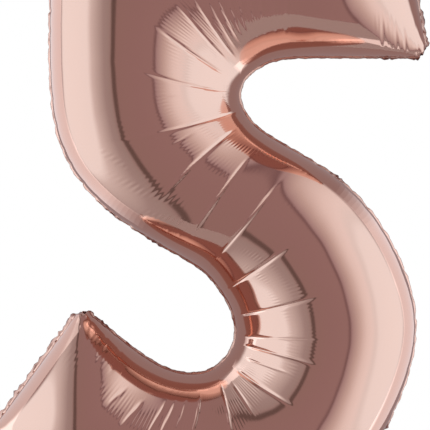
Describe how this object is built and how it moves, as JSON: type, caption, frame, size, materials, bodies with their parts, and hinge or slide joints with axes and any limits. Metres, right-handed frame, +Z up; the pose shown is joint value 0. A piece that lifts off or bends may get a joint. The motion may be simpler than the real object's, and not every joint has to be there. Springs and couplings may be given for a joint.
{
  "type": "foil number balloon",
  "caption": "Inflated foil balloon shaped as the digit five, with a welded rim, two hanging tabs, a folding filling tail and a self-sealing valve inside.",
  "frame": {"origin": "centre of the balloon's box, on the plane of the welded rim", "axes": "+Z up along the digit, +X to the right of a reader in front of it, -Y towards that reader"},
  "size_m": [0.6157, 0.198, 0.939],
  "materials": {
    "rose_foil": "metallised rose-gold film, bright",
    "valve_film": "clear soft film"
  },
  "bodies": {
    "envelope": {"front_foil": "rose_foil", "back_foil": "rose_foil"},
    "filling_tail": {"tail_front_foil": "rose_foil", "tail_back_foil": "rose_foil"},
    "valve_front_lip": {"valve_front_film": "valve_film"},
    "valve_back_lip": {"valve_back_film": "valve_film"}
  },
  "joints": [
    {"name": "tail_fold", "type": "hinge", "parent": "envelope", "child": "filling_tail", "pos_m": [0, 0, -0.426], "axis": [1, 0, 0], "range_deg": [-75, 75]},
    {"name": "valve_front_open", "type": "hinge", "parent": "envelope", "child": "valve_front_lip", "pos_m": [0, -0.0004, -0.4], "axis": [1, 0, 0], "range_deg": [0, 4], "stiffness_Nm_per_rad": 0.002},
    {"name": "valve_back_open", "type": "hinge", "parent": "envelope", "child": "valve_back_lip", "pos_m": [0, 0.0004, -0.4], "axis": [1, 0, 0], "range_deg": [-4, 0], "stiffness_Nm_per_rad": 0.002}
  ],
  "couplings": [
    {"joint": "valve_back_open", "follows": "valve_front_open", "ratio": -1}
  ]
}
